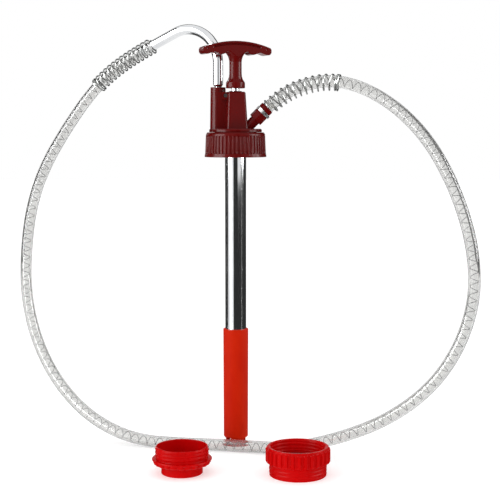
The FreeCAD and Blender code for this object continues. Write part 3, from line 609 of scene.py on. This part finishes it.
def make_canister_adapter(materials):
    """Cup, ring with rounded lumps under it, and a male thread on the neck."""
    outline = [(0.0205, 0.0005, ""), (0.0210, 0.0, ""), (0.0223, 0.0, ""), (0.0229, 0.0006, "")]
    outline += steps_between(0.0012, 0.0098, 0.001, 0.0229, "")
    outline += [(0.0238, 0.0104, "lump"), (0.0268, 0.0107, "lump"), (0.0292, 0.0112, "lump"),
                (0.0300, 0.0122, "lump"), (0.0303, 0.0140, "lump"), (0.0304, 0.0148, "lump"),
                (0.0322, 0.0150, ""), (0.0330, 0.0156, ""), (0.0331, 0.0164, ""),
                (0.0327, 0.0170, ""), (0.0300, 0.0172, ""), (0.0288, 0.0174, "")]
    outline += steps_between(0.0178, 0.0298, THREAD_STEP, 0.0286, "male")
    outline += [(0.0284, 0.0304, ""), (0.0280, 0.0306, ""), (0.0275, 0.0305, ""),
                (0.0273, 0.0301, "")]
    outline += steps_between(0.0290, 0.0165, 0.0015, 0.0272, "")
    outline += [(0.0268, 0.0158, ""), (0.0262, 0.0156, ""), (0.0181, 0.0156, ""),
                (0.0180, 0.0153, ""), (0.0180, 0.0131, ""), (0.0200, 0.0131, ""),
                (0.0200, 0.0111, ""), (0.0201, 0.0110, "")]
    outline += steps_between(0.0105, 0.0012, THREAD_STEP, 0.0205, "female")

    def swell(kind, angle, height):
        if kind == "lump":
            wave = abs(math.cos(CANISTER_LUMPS / 2 * angle)) ** 0.6
            return LUMP_DEPTH * wave * smoothstep(0.0100, 0.0112, height)
        if kind == "male":
            return CANISTER_THREAD_DEPTH * thread_ridge(height, angle, 0.0182, 0.0296)
        if kind == "female":
            return CANISTER_THREAD_DEPTH * thread_ridge(height, angle, 0.0012, 0.0104)
        return 0.0

    piece = add_piece("canister_thread_adapter", lathe(outline, 288, swell),
                      materials["red_plastic"], crease=TURNED_CREASE)
    stand_on_floor(piece, "canister_adapter")
    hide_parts("canister_adapter")
    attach(piece, "canister_adapter")


def make_drum_adapter(materials):
    """Ribbed ring with an inner thread, over a spigot with a shallow male thread."""
    outline = [(0.0275, 0.0006, ""), (0.0280, 0.0, ""), (0.0308, 0.0, ""), (0.0313, 0.0005, "")]
    outline += steps_between(0.0012, 0.0128, THREAD_STEP, 0.0312, "male")
    outline += [(0.0314, 0.0134, ""), (0.0322, 0.0138, ""), (0.0332, 0.0143, ""),
                (0.0337, 0.0150, "rib")]
    outline += steps_between(0.0154, 0.0302, 0.0010, 0.0338, "rib")
    outline += [(0.0338, 0.0306, ""), (0.0338, 0.0312, ""), (0.0336, 0.0318, ""),
                (0.0330, 0.0320, ""), (0.0306, 0.0320, ""), (0.0301, 0.0317, "")]
    outline += steps_between(0.0310, 0.0180, THREAD_STEP, 0.0299, "female")
    outline += [(0.0298, 0.0168, ""), (0.0294, 0.0165, ""), (0.0294, 0.0145, ""),
                (0.0275, 0.0145, "")]
    outline += steps_between(0.0140, 0.0012, 0.0014, 0.0275, "")

    def swell(kind, angle, height):
        if kind == "rib":
            ends = smoothstep(0.0146, 0.0158, height) * (1.0 - smoothstep(0.0296, 0.0303, height))
            rib = 1.0 - smoothstep(0.21, 0.32, abs(rib_phase(angle, DRUM_RIBS) - 0.5))
            return DRUM_RIB_DEPTH * rib * ends
        if kind == "male":
            return DRUM_SPIGOT_THREAD_DEPTH * thread_ridge(height, angle, 0.0016, 0.0120)
        if kind == "female":
            return -DRUM_INNER_THREAD_DEPTH * thread_ridge(height, angle, 0.0184, 0.0306)
        return 0.0

    piece = add_piece("drum_thread_adapter", lathe(outline, 480, swell),
                      materials["red_plastic"], crease=TURNED_CREASE)
    stand_on_floor(piece, "drum_adapter")
    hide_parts("drum_adapter")
    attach(piece, "drum_adapter")


def make_collar(materials):
    """The screw collar with rounded grip ribs outside and a female thread inside."""
    outline = [(0.0299, 0.0, ""), (0.0360, 0.0, ""), (0.0364, 0.0003, ""), (0.0364, 0.0008, ""),
               (0.0359, 0.0041, "")]
    low, high = COLLAR_RIBS_LOW, COLLAR_RIBS_HIGH
    rib_steps = 12
    for i in range(rib_steps + 1):
        outline.append((0.0342 - 0.0004 * i / rib_steps, low + (high - low) * i / rib_steps, "rib"))
    outline += [(0.0348, 0.0248, ""), (0.0348, 0.0263, ""), (0.0345, 0.0271, ""),
                (0.0333, 0.0288, ""), (0.0253, 0.0288, ""), (0.0253, 0.0252, ""),
                (0.0299, 0.0252, "")]
    outline += steps_between(0.0190, 0.0010, THREAD_STEP, 0.0299, "female")

    def swell(kind, angle, height):
        if kind == "rib":
            tip = COLLAR_RIB_DEPTH - COLLAR_RIB_TAPER * (height - low) / (high - low)
            return tip * (1.0 - smoothstep(0.08, 0.36, abs(rib_phase(angle, COLLAR_RIBS) - 0.5)))
        if kind == "female":
            return -COLLAR_THREAD_DEPTH * thread_ridge(height, angle, 0.0015, 0.0180)
        return 0.0

    piece = add_piece("ribbed_collar", lathe(outline, 768, swell),
                      materials["maroon_plastic"], crease=TURNED_CREASE)
    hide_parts("screw_collar")
    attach(piece, "collar")


# Light. Angles are in degrees as seen from above: 0 is the camera's side, 90 the right.

def make_card(name, first, last, low, high, seen_by, material):
    """Upright curved card round the object, from one angle to another.

    It is hidden from the camera and shows only in gloss, or only through the clear hose.
    """
    verts = []
    for i in range(CARD_STEPS + 1):
        angle = math.radians(first + (last - first) * i / CARD_STEPS)
        for height in (low, high):
            verts.append((CARD_REACH * math.sin(angle), -CARD_REACH * math.cos(angle), height))
    faces = [(2 * i, 2 * i + 2, 2 * i + 3, 2 * i + 1) for i in range(CARD_STEPS)]
    data = bpy.data.meshes.new(name)
    data.from_pydata(verts, [], faces)
    data.materials.append(material)
    card = add_object(name, data)
    card.visible_camera = False
    card.visible_diffuse = False
    card.visible_shadow = False
    card.visible_glossy = seen_by == "glossy"
    card.visible_transmission = seen_by == "transmission"


def make_lamp(name, angle, height, width, tall, power, soft):
    """Upright softbox. A soft one lights surfaces; the others only shine in gloss.

    None of them shows through the clear hose.
    """
    lamp = bpy.data.lights.new(name, "AREA")
    lamp.shape = "RECTANGLE"
    lamp.size = width
    lamp.size_y = tall
    lamp.energy = power
    holder = add_object(name, lamp)
    turn = math.radians(angle)
    holder.location = (LAMP_REACH * math.sin(turn), -LAMP_REACH * math.cos(turn), height)
    holder.rotation_euler = (math.radians(90.0), 0.0, turn)
    holder.visible_diffuse = soft
    holder.visible_transmission = False


def make_studio():
    """White surroundings, pale floor, dark cards and three softboxes."""
    world = bpy.data.worlds.new("studio")
    world.use_nodes = True
    background = world.node_tree.nodes["Background"]
    background.inputs["Color"].default_value = (1.0, 1.0, 1.0, 1.0)
    background.inputs["Strength"].default_value = 1.0
    bpy.context.scene.world = world
    bpy.context.scene.view_settings.view_transform = "Standard"

    pale, _, shader = new_material("studio_floor", (0.75, 0.75, 0.75), 0.8)
    shader.inputs["Emission Color"].default_value = (1.0, 1.0, 1.0, 1.0)
    shader.inputs["Emission Strength"].default_value = 0.40
    data = bpy.data.meshes.new("studio_floor")
    corners = ((-1, -1), (1, -1), (1, 1), (-1, 1))
    data.from_pydata([(FLOOR_HALF * x, FLOOR_HALF * y, FLOOR_Z) for x, y in corners],
                     [], [(0, 1, 2, 3)])
    data.materials.append(pale)
    floor = add_object("studio_floor", data)
    floor.visible_glossy = False

    dark, _, shader = new_material("studio_card", (0.03, 0.03, 0.03), 1.0)
    shader.inputs["Specular IOR Level"].default_value = 0.0
    for name, first, last, low, high, seen_by in (
            ("card_camera", -23.0, 23.0, -2.5, CARD_SPLIT, "glossy"),
            ("card_camera_high", 1.0, 16.0, CARD_SPLIT, 2.2, "glossy"),
            ("card_left", -165.0, -89.0, -2.5, CARD_SPLIT, "glossy"),
            ("card_left_high", -134.0, -89.0, CARD_SPLIT, 2.6, "glossy"),
            ("card_right", 60.0, 165.0, -2.5, CARD_SPLIT, "glossy"),
            ("card_right_high", 118.0, 165.0, CARD_SPLIT, 2.6, "glossy"),
            ("card_right_low", 23.0, 60.0, -2.5, -0.12, "glossy"),
            ("card_back_high", 150.0, 210.0, 0.40, 2.6, "glossy"),
            ("card_behind_left", -157.0, -80.0, -0.32, 2.6, "transmission"),
            ("card_behind_right", 80.0, 157.0, -0.32, 2.6, "transmission")):
        make_card(name, first, last, low, high, seen_by, dark)
    make_lamp("key", -52.0, 0.15, 0.7, 1.7, 9.0, True)
    make_lamp("strip_left", -66.0, 0.70, 1.4, 1.48, 77.0, False)
    make_lamp("strip_right", 82.0, 0.70, 1.2, 1.48, 64.0, False)


make_camera()
path = Path(route_points())
materials = make_materials()
paint_frame(materials)
hose = make_hose(path, materials)
wire = make_hose_wire(path, materials)
outlet_spring, spout_spring = make_springs(path, materials)
make_handle(materials)
make_collar(materials)
make_canister_adapter(materials)
make_drum_adapter(materials)
make_studio()
